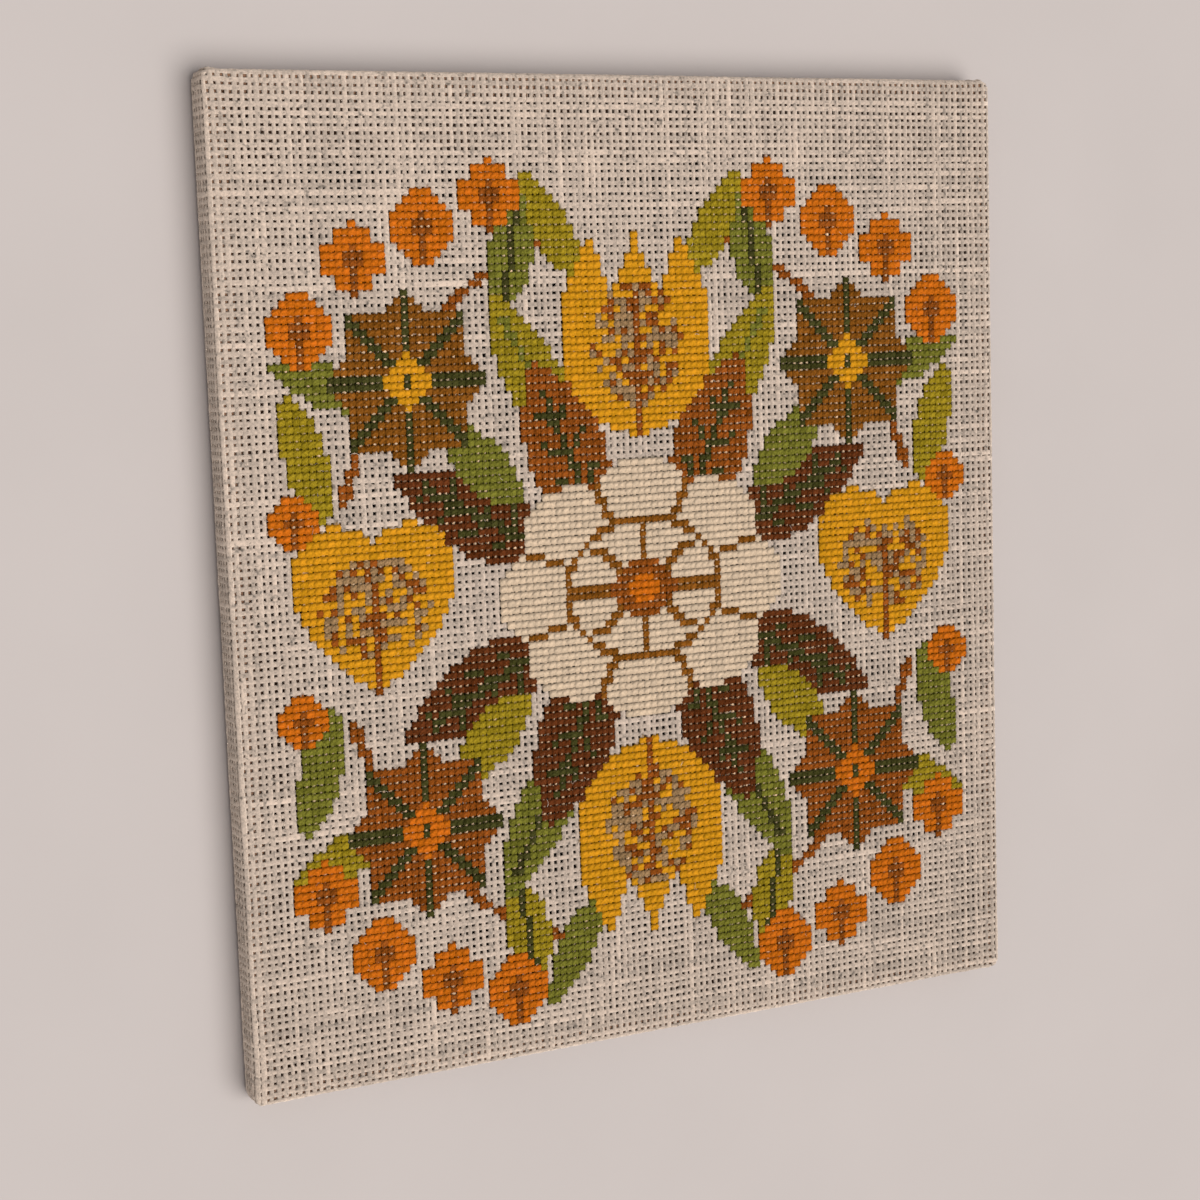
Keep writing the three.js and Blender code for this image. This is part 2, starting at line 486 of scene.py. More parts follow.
# %% Where one thread lies before the canvas is folded
SHIFT = 0.08 * MM  # how far off its place a whole thread lies
WANDER = 0.09 * MM  # how far it wanders on its way
WOBBLE = 0.06 * MM  # how far it strays from one crossing to the next
PULL = 0.9 * MM  # how far it is drawn outwards at a corner
PULL_REACH = 9 * MM  # how far from the corner that is still felt


def crossings(direction):
    """The crossings along a thread, numbered from the middle of the canvas; direction 0 runs along X"""
    count = int(cut_half[direction] / pitch[direction])
    offset = 0.5 * ((COLUMNS, ROWS)[direction] % 2 == 0)
    return np.arange(-count, count + 1 - (offset > 0)) + offset


def flat_path(direction, number):
    other = 1 - direction
    steps = crossings(direction)
    along = steps * pitch[direction]
    across = number * pitch[other] + chance.normal(0, SHIFT)
    across = across + WANDER * drift(len(steps), 12) + WOBBLE * chance.normal(size=len(steps))
    to_end = (half_size[direction] - np.abs(along)) / PULL_REACH
    to_side = (half_size[other] - abs(across)) / PULL_REACH
    pulled = PULL * np.exp(-(to_end**2) - to_side**2)
    return steps, along, across + np.sign(number) * pulled


print("threads:", len(crossings(1)), "of weft and", len(crossings(0)), "of warp")

# %% [markdown]
# ### The corners
#
# At each corner the surplus cloth is pulled round from the right or left side and laid flat, as a triangle,
# on the top or bottom side. So a thread that runs lengthways on the right or left side turns the upright
# corner and goes on until it reaches the sloping edge of that pleat. One on the top or bottom side stops a
# little way under the pleat, and what lies over it is raised by the pleat's thickness.

# %% Threads at a corner
EDGE = BEND + INSET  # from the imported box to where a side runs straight
PLEAT_REACH = depth - 2 * EDGE  # both sides of the triangle that the surplus cloth makes
PLEAT_SLOPE = 1.2 * MM  # over this distance the cloth climbs on to the pleat


def round_the_corner(along, side, height, inset):
    """A thread of the right or left side, carried round the upright corner and on over the next side"""
    over = np.abs(along) - (middle_half[1] - CORNER)
    turn = np.clip(over / CORNER, 0, math.pi / 2)
    beyond = np.clip(over - CORNER * math.pi / 2, 0, None)
    radius = CORNER - inset
    x = middle_half[0] - CORNER + radius * np.cos(turn) - beyond
    y = middle_half[1] - CORNER + radius * np.sin(turn) + pleat_proud * turn / (math.pi / 2)
    way = np.sign(along)
    y = np.where(over < 0, np.abs(along), y)
    outward = np.column_stack([side * np.cos(turn), way * np.sin(turn), np.zeros(len(along))])
    return np.column_stack([side * x, way * y, height]), outward, beyond


def raised_by_pleat(points):
    """How much of the pleat's thickness lies under each point of a top or bottom side, from 0 to 1"""
    from_corner = middle_half[0] - CORNER - np.abs(points[:, 0])
    from_back = points[:, 2] - EDGE
    inside = np.clip((PLEAT_REACH - from_corner.clip(0) - from_back.clip(0)) / PLEAT_SLOPE, 0, 1)
    inside *= np.clip(1 + from_corner / EDGE, 0, 1) * np.clip(1 + from_back / EDGE, 0, 1)
    return inside * np.clip((np.abs(points[:, 1]) - middle_half[1]) / MM + 1.5, 0, 1)


# %% [markdown]
# A thread that lies lengthways on a side faces straight out. In the bend towards the back it has to roll
# with the cloth, and `tilt` turns what is outward there down to the floor. Below the pleat there is no
# surplus cloth, so those threads run right into the corner.

# %% Threads that lie lengthways on a side
PLEAT_OVERLAP = 3 * MM  # how far the threads of the top and bottom sides run on under the pleat


def lay_on_side(direction, number, points, along, height, inset):
    """Where such a thread lies, what is outward there, and which of its crossings are kept"""
    at_pleat = height > EDGE - MM
    if direction == 0:
        to_pleat = np.where(at_pleat, PLEAT_REACH - PLEAT_OVERLAP - (height - EDGE), 0)
        kept = middle_half[0] - CORNER - np.abs(along) > to_pleat
        outward = np.tile([0, np.sign(number), 0], (len(points), 1))
    else:
        points, outward, beyond = round_the_corner(along, np.sign(number), height, inset)
        kept = beyond < np.where(at_pleat, PLEAT_REACH - (height - EDGE), MM)
    tilt = np.arcsin(np.clip((back_z + BEND - height) / BEND, 0, 1))[:, None]
    return points, outward * np.cos(tilt) - np.sin(tilt) * (0, 0, 1), kept


# %% [markdown]
# ### Folding one thread
#
# `wrap_thread` takes a thread of the flat cut and puts it on the wrapped surface. A thread of the face runs
# all the way round to the back. On the back, the turn-overs of two neighbouring sides meet on a mitre, so
# every thread stops just before that line.

# %% Put one thread on the wrapped surface
MITRE_GAP = 0.6 * MM
EDGE_DROP = 0.12 * MM  # a thread that lies along a bend is pressed in by the ones that turn over it


def wrap_thread(direction, number, along, across):
    other = 1 - direction
    reach, drop = fold(along, flat_half[direction])
    out, height = fold(across, flat_half[other])
    points = np.empty((len(along), 3))
    points[:, direction] = reach
    points[:, other] = out
    points[:, 2] = np.minimum(drop, height)
    from_end = middle_half[direction] - np.abs(reach)
    from_side = middle_half[other] - np.abs(out)
    over = abs(number * pitch[other]) - flat_half[other]
    on_back = over > bend_length + side_length + bend_length
    on_side = over > bend_length and not on_back

    surface, outward = settle(points)
    kept = (drop >= back_z + 0.5 * BEND) | (from_end < from_side - MITRE_GAP)
    if on_back:
        kept = (from_end > from_side + MITRE_GAP) & (np.abs(along) < middle_half[direction])
    if on_side:
        surface, outward, kept = lay_on_side(direction, number, points, along, height, from_side)
    if not (on_side and direction == 1):
        surface[:, 1] += np.sign(surface[:, 1]) * pleat_proud * raised_by_pleat(surface)
    if over > 0:
        surface = surface - EDGE_DROP * outward
    return surface, outward, kept


# %% [markdown]
# ### What the stitches do to the canvas
#
# A worked cross draws the threads under it together and covers them with its fuzz. Each crossing therefore
# remembers which yarn is worked on it, that yarn's colour, and how densely its stray fibres hide the
# canvas. Full, fluffy yarns hide more of it than thin ones.

# %% Which yarn covers each crossing of a thread
COVERS = {
    "orange": 0.85,
    "mustard": 0.92,
    "rust": 0.50,
    "tan": 0.53,
    "brown": 0.42,
    "green": 0.62,
    "lime": 0.76,
    "olive": 0.46,
    "taupe": 0.60,
    "cream": 0.95,
}
covers = np.array([*[COVERS[yarn] for yarn in YARN_NAMES], 0.0])
colours = np.array([*YARNS.values(), (0.0, 0.0, 0.0)])


def yarns_over(direction, steps, number):
    """The index of the yarn that each crossing of a thread is stitched with, or BARE"""
    places = steps, np.full(len(steps), number)
    column, row = places if direction == 0 else reversed(places)
    column = np.rint(column + (COLUMNS - 1) / 2).astype(int)
    row = np.rint(row + (ROWS - 1) / 2).astype(int)
    on_face = (column >= 0) & (column < COLUMNS) & (row >= 0) & (row < ROWS)
    found = chart[row.clip(0, ROWS - 1), column.clip(0, COLUMNS - 1)]
    return np.where(on_face, found, BARE)


# %% [markdown]
# ### Everything about one thread
#
# In a plain weave a thread lies on top at every other crossing. There it rises a little, and spreads
# because nothing holds it in. Where it dips under its neighbour, it is narrower.

# %% Lay one thread
CRIMP = 0.05 * MM  # how far a thread rises over and dips under its neighbours
SPREAD = 0.10  # share by which it is wider on top, and narrower underneath
WIDEST = 1.36  # no thread gets wider than this, against a middling one
SQUEEZE = 0.19  # share by which the yarn of a cross draws a thread together


def lay_thread(direction, number, thickness, tone):
    steps, along, across = flat_path(direction, number)
    surface, outward, kept = wrap_thread(direction, number, along, across)
    on_top = 1 - 2 * ((np.floor(steps) + math.floor(number) + direction) % 2)
    surface = surface + (CRIMP * on_top)[:, None] * outward
    lumps = slubs(len(steps))
    width = thickness * (1 + SPREAD * on_top + 0.06 * drift(len(steps), 3)) + lumps
    yarn = yarns_over(direction, steps, number)
    width = np.minimum(width, WIDEST) - SQUEEZE * (yarn != BARE)
    laid = {
        "place": surface,
        "outward": outward,
        "thickness": width,
        "tone": tone + 0.5 * drift(len(steps), 5) + 4 * lumps,
        "along": along,
        "cover": covers[yarn],
        "stitched": np.where(yarn == BARE, 0.0, 1.0),
        "yarn": colours[yarn],
    }
    return {title: values[kept] for title, values in laid.items()}


# %% [markdown]
# All the threads of one direction become one mesh of bare lines. What each point needs goes with it as
# attributes: its thickness, the direction that points out of the cloth, its tone, its distance along the
# thread, and what the stitches do to it. One thread in ten is a thick, pale one.

# %% Lay all the threads of one direction
THICK_SHARE = 0.10  # share of the threads that are thick and pale


def bare_lines(name, direction):
    threads = []
    edges = []
    count = 0
    for number in crossings(1 - direction):
        thick = chance.random() < THICK_SHARE
        thickness = chance.normal(0.98, 0.045) + (chance.uniform(0.06, 0.18) if thick else 0)
        tone = chance.normal(0, 0.7) + (0.6 if thick else 0)
        threads.append(lay_thread(direction, number, thickness, tone))
        length = len(threads[-1]["place"])
        edges += [(count + i, count + i + 1) for i in range(length - 1)]
        count += length
    attributes = {title: np.concatenate([thread[title] for thread in threads]) for title in threads[0]}
    points = attributes.pop("place")
    print(name, "has", len(points), "crossings")
    return object_from(name, points, edges, attributes)


weft_lines = bare_lines("canvas_weft", 0)
warp_lines = bare_lines("canvas_warp", 1)

# %% [markdown]
# ## From bare lines to bodies
#
# Threads, wisps and crosses all get their bodies in the same way: Curve to Mesh pulls a section along a
# line. These helpers make the parts of that step. `with_across` also stores how far across its section
# each corner lies, which the material later uses to lay its fibres along the thread.

# %% Helpers that give a line its body
def profile(tree, corners):
    made = add(tree, "GeometryNodeCurvePrimitiveQuadrilateral", mode="POINTS")
    for index, (x, y) in enumerate(corners):
        point = add(tree, "ShaderNodeCombineXYZ", {"X": x, "Y": y})
        tree.links.new(point.outputs[0], made.inputs[f"Point {index + 1}"])
    return made.outputs[0]


def store(tree, geometry, name, value):
    sockets = {"Geometry": geometry, "Name": name, "Value": value}
    return add(tree, "GeometryNodeStoreNamedAttribute", sockets).outputs[0]


def with_across(tree, section, axis, half_width):
    place = add(tree, "GeometryNodeInputPosition").outputs[0]
    split = add(tree, "ShaderNodeSeparateXYZ", {0: place})
    return store(tree, section, "across", math_node(tree, "DIVIDE", split.outputs[axis], half_width))


def body_along(tree, line, section, girth=1.0, capped=True):
    sockets = {"Curve": line, "Profile Curve": section, "Scale": girth, "Fill Caps": capped}
    return add(tree, "GeometryNodeCurveToMesh", sockets).outputs[0]


# %% [markdown]
# ### The canvas threads
#
# A round section would need eight corners or more, at forty-five thousand points. This one is a low
# trapezium, broad underneath and narrower on top. It looks round once it is shaded smooth, and needs only
# four. Set Curve Normal, fed with the stored direction, keeps its flat side towards the cloth, also round
# the bends.

# %% The tree of the canvas threads
THREAD_HALF_WIDTH = 1.16 * MM


def thread_tree():
    sizes = {
        "Half width": THREAD_HALF_WIDTH,
        "Top share": 0.62,
        "Height above": 0.40 * MM,
        "Depth below": 0.25 * MM,
    }
    tree, given = tree_with_inputs("threads", sizes)
    half, above = given["Half width"], given["Height above"]
    below = opposite(tree, given["Depth below"])
    top = math_node(tree, "MULTIPLY", half, given["Top share"])
    corners = [(below, half), (above, top), (above, opposite(tree, top)), (below, opposite(tree, half))]
    section = with_across(tree, profile(tree, corners), "Y", half)
    lines = add(tree, "GeometryNodeMeshToCurve", {"Mesh": given["Geometry"]}).outputs[0]
    outward = add(tree, "GeometryNodeInputNamedAttribute", {"Name": "outward"}, data_type="FLOAT_VECTOR")
    sockets = {"Curve": lines, "Normal": outward.outputs[0]}
    turned = add(tree, "GeometryNodeSetCurveNormal", sockets, mode="FREE").outputs[0]
    thickness = add(tree, "GeometryNodeInputNamedAttribute", {"Name": "thickness"}, data_type="FLOAT")
    body = body_along(tree, turned, section, thickness.outputs[0])
    smooth = add(tree, "GeometryNodeSetShadeSmooth", {"Geometry": body}).outputs[0]
    end_tree(tree, smooth, given["Material"])
    return tree


threads = thread_tree()
print("the tree of the threads has", len(threads.nodes), "nodes")

# %% [markdown]
# ## Spun fibres
#
# Canvas thread, loose wisps and embroidery yarn are all spun from matt fibres, so one shader group serves
# them all. Their plies could be modelled too, but that would take millions of triangles, and plies hardly
# show on anything as fuzzy as this. So the group lays noise in twisted lines along the thread, adds lumps of
# fuzz, and lets whole threads differ in tone. Where a strand is tucked into the canvas, its colour goes over
# into a darker one, as painted shade, because hardly any light gets in there. The group puts out a colour
# and a height. The height feeds a bump, which roughens each strand. Its shape is in the mesh.

# %% Helpers for materials
def group_with_sockets(name, inputs, outputs):
    tree = bpy.data.node_groups.new(name, "ShaderNodeTree")
    for title, value in inputs.items():
        kind = "Float"
        if isinstance(value, tuple):
            kind = "Color" if len(value) == 4 else "Vector"
        socket = tree.interface.new_socket(title, in_out="INPUT", socket_type="NodeSocket" + kind)
        socket.default_value = value
    for title, kind in outputs.items():
        tree.interface.new_socket(title, in_out="OUTPUT", socket_type="NodeSocket" + kind)
    return tree, tree.nodes.new("NodeGroupInput").outputs, tree.nodes.new("NodeGroupOutput").inputs


def stored(tree, name, output="Fac"):
    return add(tree, "ShaderNodeAttribute", attribute_name=name).outputs[output]


def object_place(tree):
    return add(tree, "ShaderNodeTexCoord").outputs["Object"]


def noise(tree, where, scale, detail=2.0):
    sockets = {"Vector": where, "Scale": scale, "Detail": detail}
    return add(tree, "ShaderNodeTexNoise", sockets).outputs["Fac"]


def blend(tree, share, first, second, **options):
    sockets = {0: share, 6: first, 7: second}
    return add(tree, "ShaderNodeMix", sockets, data_type="RGBA", **options).outputs[2]


# %% The shader group for spun fibres
def spun_fibres():
    inputs = {
        "Dark": (0.4, 0.4, 0.4, 1),
        "Light": (0.6, 0.6, 0.6, 1),
        "Deep shade": (0.1, 0.1, 0.1, 1),
        "Fibre contrast": 0.5,
        "Tone contrast": 0.15,
        "Twist": 500.0,
        "Lumps": 800.0,
    }
    tree, given, result = group_with_sockets("spun_fibres", inputs, {"Color": "Color", "Height": "Float"})
    along, tone = stored(tree, "along"), stored(tree, "tone")
    twisted = math_node(tree, "MULTIPLY_ADD", along, given["Twist"], stored(tree, "across"))
    spot = {
        "X": math_node(tree, "MULTIPLY", along, 900.0),  # lengthways, where a fibre changes slowly
        "Y": math_node(tree, "MULTIPLY", twisted, 3.0),  # across, where it changes fast
        "Z": math_node(tree, "MULTIPLY", tone, 31.0),  # another part of the noise for each thread
    }
    lines = noise(tree, add(tree, "ShaderNodeCombineXYZ", spot).outputs[0], 1.0, 3.0)
    lumps = noise(tree, object_place(tree), given["Lumps"], 4.0)
    fuzz = math_node(tree, "MULTIPLY_ADD", lumps, 1.4, lines)
    fuzz = math_node(tree, "SUBTRACT", fuzz, 1.2)  # so that it is 0 on average
    shade = math_node(tree, "MULTIPLY_ADD", fuzz, given["Fibre contrast"], 0.5)
    shade = math_node(tree, "MULTIPLY_ADD", tone, given["Tone contrast"], shade)
    colour = blend(tree, shade, given["Dark"], given["Light"])
    # painted shade: where the stored tucked value is high, the colour goes over into the darker shade colour
    tree.links.new(blend(tree, stored(tree, "tucked"), colour, given["Deep shade"]), result["Color"])
    tree.links.new(fuzz, result["Height"])
    return tree


fibres = spun_fibres()
print("the group of the fibres has", len(fibres.nodes), "nodes")

# %% [markdown]
# Each finish places that group in a material of its own. A fluffy yarn scatters light so widely that the
# two slopes of a strand differ less than its shape says. `soft` stands for that: it leans the shading
# normal towards straight up, which is safe here because all the stitches lie on the flat face. The canvas
# threads keep their true normal, because they also run down the sides.

# %% Finishes of spun fibre
def new_material(name, roughness, specular):
    material = bpy.data.materials.new(name)
    material.use_nodes = True
    tree = material.node_tree
    shader = tree.nodes["Principled BSDF"]
    shader.inputs["Roughness"].default_value = roughness
    shader.inputs["Specular IOR Level"].default_value = specular
    return material, tree, shader


def fibre_material(name, colour, spread, soft, painted_sheen=0.0, fuzzy=0.2, **values):
    """Matt spun fibre: the colour varies by `spread` to either side of what is given; a pale painted sheen is
    added to its lighter side
    """
    material, tree, shader = new_material(name, 0.9, 0.04)
    shader.inputs["Diffuse Roughness"].default_value = 1.0
    group = add(tree, "ShaderNodeGroup", node_tree=fibres)
    group.inputs["Dark"].default_value = (*[c * (1 - spread) for c in colour], 1)
    # painted sheen: a pale amount is added to the lighter fibres
    group.inputs["Light"].default_value = (*[c * (1 + spread) + painted_sheen for c in colour], 1)
    # painted shade: the colour of the yarn where little light gets in, three tenths of its own
    group.inputs["Deep shade"].default_value = (*[c * 0.3 for c in colour], 1)
    for title, value in values.items():
        group.inputs[title.replace("_", " ")].default_value = value
    bump = add(tree, "ShaderNodeBump", {"Height": group.outputs["Height"], "Strength": fuzzy})
    bump.inputs["Distance"].default_value = 0.25 * MM
    if soft:
        shape = add(tree, "ShaderNodeNewGeometry").outputs["Normal"]
        bent = add(tree, "ShaderNodeMix", {0: soft, 4: shape, 5: (0, 0, 1)}, data_type="VECTOR")
        even = add(tree, "ShaderNodeVectorMath", {0: bent.outputs[1]}, operation="NORMALIZE")
        tree.links.new(even.outputs[0], bump.inputs["Normal"])
    tree.links.new(group.outputs["Color"], shader.inputs["Base Color"])
    tree.links.new(bump.outputs[0], shader.inputs["Normal"])
    return material


# %% [markdown]
# ### Fuzz between the crosses
#
# Where the canvas peeps out between two crosses, it isn't clean. The yarn's stray fibres lie over it in
# patches. What is left bare under the crosses is painted lighter, as painted light that lifts it out of the
# shade between the tall crosses. The fibres are far too fine for geometry, so the canvas
# finish mixes the yarn's colour in, as densely as `cover` says, with noise for the patches.

# %% Let stray fibres of yarn lie on the canvas threads
PAINTED_SPECK_LIGHT = (1.38, 1.26, 1.02, 1)  # painted light: what a canvas thread's colour under the crosses is multiplied by
PATCHES = 420.0  # scale of the patches of fuzz


def add_stray_fibres(material):
    tree = material.node_tree
    shader = tree.nodes["Principled BSDF"]
    bare = shader.inputs["Base Color"].links[0].from_socket
    # painted light: canvas threads under the crosses are made lighter, to lift them out of the shade
    painted_light_mask = math_node(tree, "GREATER_THAN", stored(tree, "stitched"), 0.6)
    bare = blend(tree, painted_light_mask, bare, PAINTED_SPECK_LIGHT, blend_type="MULTIPLY")
    patch = math_node(tree, "MULTIPLY_ADD", noise(tree, object_place(tree), PATCHES), -2.2, 1.6)
    amount = math_node(tree, "ADD", math_node(tree, "SUBTRACT", stored(tree, "cover"), 1.0), patch)
    mask = add(tree, "ShaderNodeMapRange", {"Value": amount, "From Min": -0.3, "From Max": 0.35})
    fuzzed = blend(tree, mask.outputs[0], bare, stored(tree, "yarn", "Color"))
    tree.links.new(fuzzed, shader.inputs["Base Color"])


canvas_finish = fibre_material("canvas_thread", (0.58, 0.485, 0.412), 0.33, 0.0, Fibre_contrast=1.0)
add_stray_fibres(canvas_finish)
print(canvas_finish.name, "has", len(canvas_finish.node_tree.nodes), "nodes")

# %% Make the canvas
canvas_weft = finished_mesh(weft_lines, threads, {"Material": canvas_finish})
canvas_warp = finished_mesh(warp_lines, threads, {"Material": canvas_finish})

# %% [markdown]
# ## Chance, stations and strewn shapes
#
# Wisps and crosses are small shapes, made once and put on many points. `strew` does that with Instance on
# Points, and turns and scales each of them a little by chance, from a seed. `five_stations` gives a line of
# five points, numbered 0 to 4, for a tree to move to where it wants them.

# %% Helpers that strew a shape over points
def five_stations(tree):
    line = add(tree, "GeometryNodeCurvePrimitiveLine").outputs[0]
    return add(tree, "GeometryNodeResampleCurve", {"Curve": line, "Count": 5}).outputs[0]


def random_vector(tree, seed, low, high):
    sockets = {"Min": low, "Max": high, "Seed": seed}
    return add(tree, "FunctionNodeRandomValue", sockets, data_type="FLOAT_VECTOR").outputs[0]


def strew(tree, given, shape, turns, scales):
    sockets = {
        "Points": add(tree, "GeometryNodeMeshToPoints", {"Mesh": given["Geometry"]}).outputs[0],
        "Instance": shape,
        "Rotation": random_vector(tree, given["Seed"], *turns),
        "Scale": random_vector(tree, math_node(tree, "ADD", given["Seed"], 1.0), *scales),
    }
    strewn = add(tree, "GeometryNodeInstanceOnPoints", sockets).outputs[0]
    end_tree(tree, strewn, given["Material"])


# %% [markdown]
# ## Wisps
#
# Coarse canvas sheds short pale fibres, which lie across the weave and break up its grid. Each wisp is a
# bowed hair with three sides, thin at its ends, that arches over a thread or two. A hair system could do
# the same, but it wouldn't turn into a plain mesh as readily.

# %% The tree of the wisps
def wisp_tree():
    sizes = {
        "Length": 4.2 * MM,
        "Bend": 0.9 * MM,
        "Arch": 0.35 * MM,
        "Radius": 0.09 * MM,
        "Sides": 3,
        "Seed": 5,
    }
    tree, given = tree_with_inputs("wisps", sizes)
    share = math_node(tree, "DIVIDE", add(tree, "GeometryNodeInputIndex").outputs[0], 4.0)
    middle = math_node(tree, "SUBTRACT", share, 0.5)
    bow = math_node(tree, "MULTIPLY_ADD", math_node(tree, "MULTIPLY", middle, middle), -4.0, 1.0)
    place = {
        "X": math_node(tree, "MULTIPLY", middle, given["Length"]),
        "Y": math_node(tree, "MULTIPLY", bow, given["Bend"]),
        "Z": math_node(tree, "MULTIPLY", bow, given["Arch"]),
    }
    place = add(tree, "ShaderNodeCombineXYZ", place).outputs[0]
    bent = add(tree, "GeometryNodeSetPosition", {"Geometry": five_stations(tree), "Position": place})
    round_section = {"Resolution": given["Sides"], "Radius": given["Radius"]}
    section = add(tree, "GeometryNodeCurvePrimitiveCircle", round_section).outputs[0]
    girth = math_node(tree, "MULTIPLY_ADD", bow, 0.7, 0.3)
    hair = body_along(tree, bent.outputs[0], section, girth)
    smooth = add(tree, "GeometryNodeSetShadeSmooth", {"Geometry": hair}).outputs[0]
    turns = (-0.1, -0.08, 0.0), (0.1, 0.08, 2 * math.pi)
    scales = (0.5, 0.1, 0.7), (1.5, 1.6, 1.3)
    strew(tree, given, smooth, turns, scales)
    return tree


# %% Strew the wisps over the face
WISPS = 2600
spots = (chance.random((WISPS, 2)) - 0.5) * 2 * (half_size - 4 * MM)
spots = np.column_stack([spots, np.full(WISPS, front_z + 0.35 * MM)])
wisps = object_from("canvas_fuzz", spots, attributes={"tone": chance.normal(size=WISPS)})
wisp_finish = fibre_material("canvas_wisp", (0.72, 0.62, 0.53), 0.2, 0.5)
canvas_fuzz = finished_mesh(wisps, wisp_tree(), {"Material": wisp_finish})

# %% [markdown]
# ## The cross stitch
#
# A cross is two strands of yarn over one crossing of the weave. The lower leg goes in at one pair of holes,
# the upper leg at the other, and behind the canvas a short bar of yarn joins two holes. That bar is hardly
# seen, but it fills the dark holes with the colour of the yarn, painted most of the way over to the yarn's
# darker shade colour, as painted shade behind the canvas.
#
# A leg is broad in its middle, a little narrower at its shoulder, and pointed at its tip, where it goes down
# into the hole. `three_stops` gives a value at those three places. It is used for how far out a station
# lies, how high, and how thick the yarn is there.

# %% Values along a leg
def three_stops(tree, away, middle, shoulder, tip):
    """A value that goes from `middle` over `shoulder`, half way out, to `tip`"""
    inner = math_node(tree, "MINIMUM", math_node(tree, "MULTIPLY", away, 2.0), 1.0)
    outer = math_node(tree, "MAXIMUM", math_node(tree, "MULTIPLY_ADD", away, 2.0, -1.0), 0.0)
    value = math_node(tree, "MULTIPLY_ADD", inner, math_node(tree, "SUBTRACT", shoulder, middle), middle)
    return math_node(tree, "MULTIPLY_ADD", outer, math_node(tree, "SUBTRACT", tip, shoulder), value)


def leg(tree, given, section, rise, slant):
    """One strand of the cross, from hole to hole; `slant` is 1 or -1"""
    index = add(tree, "GeometryNodeInputIndex").outputs[0]
    signed = math_node(tree, "SUBTRACT", math_node(tree, "DIVIDE", index, 2.0), 1.0)
    away = math_node(tree, "ABSOLUTE", signed)
    reach = three_stops(tree, away, 0.0, given["Shoulder reach"], 1.0)
    reach = math_node(tree, "MULTIPLY", reach, math_node(tree, "SIGN", signed))
    across = math_node(tree, "MULTIPLY", given["Cell width"], given["Reach across"])
    up = math_node(tree, "MULTIPLY", given["Cell height"], given["Reach up"])
    up = math_node(tree, "MULTIPLY", math_node(tree, "MULTIPLY", reach, up), slant)
    lifted = math_node(tree, "MULTIPLY", rise, given["Shoulder lift"])
    height = three_stops(tree, away, rise, lifted, opposite(tree, given["Tip depth"]))
    place = {"X": math_node(tree, "MULTIPLY", reach, across), "Y": up, "Z": height}
    place = add(tree, "ShaderNodeCombineXYZ", place).outputs[0]
    sockets = {"Geometry": five_stations(tree), "Position": place}
    line = add(tree, "GeometryNodeSetPosition", sockets).outputs[0]
    line = store(tree, line, "along", math_node(tree, "MULTIPLY", reach, given["Cell width"]))
    # painted shade: the colour darkens towards the tip, where the strand goes down into the hole
    tucked = math_node(tree, "MULTIPLY", math_node(tree, "POWER", away, 4.0), given["Tip shade"])
    line = store(tree, line, "tucked", tucked)
    line = add(tree, "GeometryNodeSetCurveNormal", {"Curve": line}, mode="Z_UP").outputs[0]
    girth = three_stops(tree, away, 1.0, given["Shoulder girth"], 0.0)
    return body_along(tree, line, section, girth, capped=False)


# %% The bar of yarn behind the canvas
def back_bar(tree, given, half, up):
    x = math_node(tree, "MULTIPLY", given["Cell width"], 0.5)
    y = math_node(tree, "MULTIPLY", given["Cell height"], 0.55)
    z = opposite(tree, given["Back depth"])
    start = add(tree, "ShaderNodeCombineXYZ", {"X": x, "Y": opposite(tree, y), "Z": z}).outputs[0]
    end = add(tree, "ShaderNodeCombineXYZ", {"X": x, "Y": y, "Z": z}).outputs[0]
    line = add(tree, "GeometryNodeCurvePrimitiveLine", {"Start": start, "End": end}).outputs[0]
    line = add(tree, "GeometryNodeSetCurveNormal", {"Curve": line}, mode="Z_UP").outputs[0]
    flat = math_node(tree, "MULTIPLY", half, given["Back share"])
    left, down = opposite(tree, flat), opposite(tree, up)
    section = profile(tree, [(left, down), (left, up), (flat, up), (flat, down)])
    # painted shade: the bar behind the canvas is coloured 0.8 of the way to the yarn's darker shade colour
    return store(tree, body_along(tree, line, with_across(tree, section, "X", flat)), "tucked", 0.8)


# %% [markdown]
# The whole cross is one small shape with closed pieces: both legs, whose pointed ends are merged, and the
# bar. It is placed once for each square of the chart. Everything that makes one yarn differ from another
# is an input of the tree.

